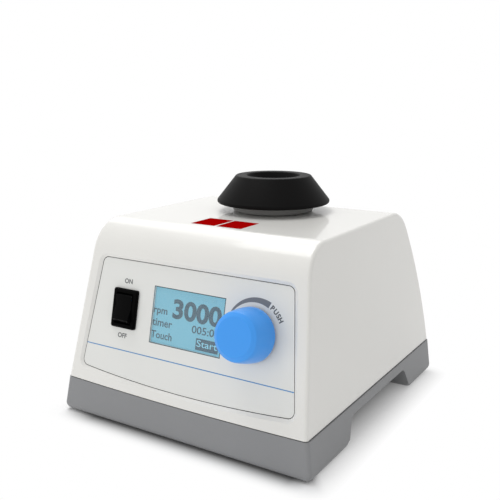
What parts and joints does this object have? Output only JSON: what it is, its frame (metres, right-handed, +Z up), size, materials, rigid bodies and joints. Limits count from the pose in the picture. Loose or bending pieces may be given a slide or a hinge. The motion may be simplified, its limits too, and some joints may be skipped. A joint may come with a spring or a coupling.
{
  "type": "vortex mixer",
  "caption": "Bench vortex mixer: tapered white case on a grey footed base, leaning control panel with display, rocker switch and push knob, sensor windows and an orbiting rubber cup on top.",
  "frame": {"origin": "middle of the overall width and depth, on the table plane under the rubber pads", "axes": "+Z up, -Y out of the control panel's side (the front), +X to the right seen from the front"},
  "size_m": [0.1528, 0.1711, 0.125],
  "materials": {
    "shell_white": "gloss light paint on a die casting",
    "base_grey": "satin moulded",
    "pad_rubber": "matt",
    "screw_steel": "zinc plated",
    "panel_white": "satin film",
    "display_lens": "clear acrylic",
    "lcd_blue": "backlit pale blue",
    "frame_steel": "pressed sheet",
    "switch_black": "semi-gloss",
    "rocker_black": "semi-gloss",
    "contact_brass": "plated",
    "encoder_steel": "pressed sheet",
    "shaft_alu": "turned",
    "bush_grey": "moulded",
    "knob_blue": "satin gloss",
    "board_green": "solder mask",
    "window_red": "polished filter",
    "lamp_dark": "clear dark lens",
    "cup_rubber": "satin black",
    "hub_white": "satin moulded",
    "bearing_steel": "ground",
    "crank_steel": "turned",
    "weight_iron": "machined",
    "motor_steel": "dark paint",
    "cap_alu": "cast",
    "magnet_grey": "ferrite",
    "rotor_steel": "laminated",
    "plate_steel": "zinc plated",
    "inlet_black": "moulded",
    "drawer_black": "moulded",
    "coil_amber": "taped winding"
  },
  "bodies": {
    "case": {"upper_shell": "shell_white", "base_tray": "base_grey", "foot_pads": "pad_rubber", "case_screws": "screw_steel", "control_panel": "panel_white", "display_window": "display_lens", "lcd_cell": "lcd_blue", "lcd_frame": "frame_steel", "switch_housing": "switch_black", "switch_terminals": "contact_brass", "encoder_housing": "encoder_steel", "encoder_nut": "screw_steel", "control_board": "board_green", "board_standoffs": "contact_brass", "board_screws": "screw_steel", "sensor_window_left": "window_red", "sensor_window_right": "window_red", "sensor_board": "board_green", "ir_emitter": "lamp_dark", "ir_receiver": "lamp_dark", "sensor_screws": "screw_steel", "motor_can": "motor_steel", "motor_cap_lower": "cap_alu", "motor_cap_upper": "cap_alu", "motor_magnets": "magnet_grey", "motor_bearings": "bearing_steel", "motor_plate": "plate_steel", "motor_posts": "plate_steel", "motor_isolators": "pad_rubber", "post_screws": "screw_steel", "motor_screws": "screw_steel", "mains_inlet": "inlet_black", "inlet_pins": "contact_brass", "fuse_drawer": "drawer_black", "supply_board": "board_green", "transformer": "coil_amber", "capacitors": "cap_alu", "heat_sink": "shaft_alu", "supply_screws": "screw_steel"},
    "rotor": {"motor_rotor": "rotor_steel", "motor_shaft": "crank_steel", "crank": "crank_steel", "crank_grub_screw": "screw_steel", "counterweight": "weight_iron", "head_bearing_inner": "bearing_steel", "bearing_spacer": "bearing_steel"},
    "cup": {"mixing_cup": "cup_rubber", "cup_hub": "hub_white", "head_bearing_outer": "bearing_steel"},
    "rocker": {"switch_rocker": "rocker_black"},
    "plunger": {"encoder_plunger": "bush_grey"},
    "knob": {"control_knob": "knob_blue", "knob_bush": "bush_grey", "encoder_shaft": "shaft_alu"}
  },
  "joints": [
    {"name": "motor_spin", "type": "hinge", "parent": "case", "child": "rotor", "pos_m": [0, 0.01533, 0.08], "axis": [0, 0, 1], "continuous": true},
    {"name": "cup_orbit", "type": "hinge", "parent": "rotor", "child": "cup", "pos_m": [0, 0.01758, 0.1], "axis": [0, 0, 1], "continuous": true},
    {"name": "power_rocker", "type": "hinge", "parent": "case", "child": "rocker", "pos_m": [-0.03951, -0.066, 0.06053], "axis": [1, 0, 0], "range_deg": [0, 18]},
    {"name": "knob_push", "type": "slide", "parent": "case", "child": "plunger", "axis": [0, 0.9769, -0.2139], "range_m": [0, 0.0006], "stiffness_N_per_m": 5000, "springref_m": -0.0005},
    {"name": "knob_turn", "type": "hinge", "parent": "plunger", "child": "knob", "pos_m": [0.03851, -0.06825, 0.06102], "axis": [0, -0.9769, 0.2139], "continuous": true}
  ],
  "couplings": [
    {"joint": "cup_orbit", "follows": "motor_spin", "ratio": -1}
  ]
}
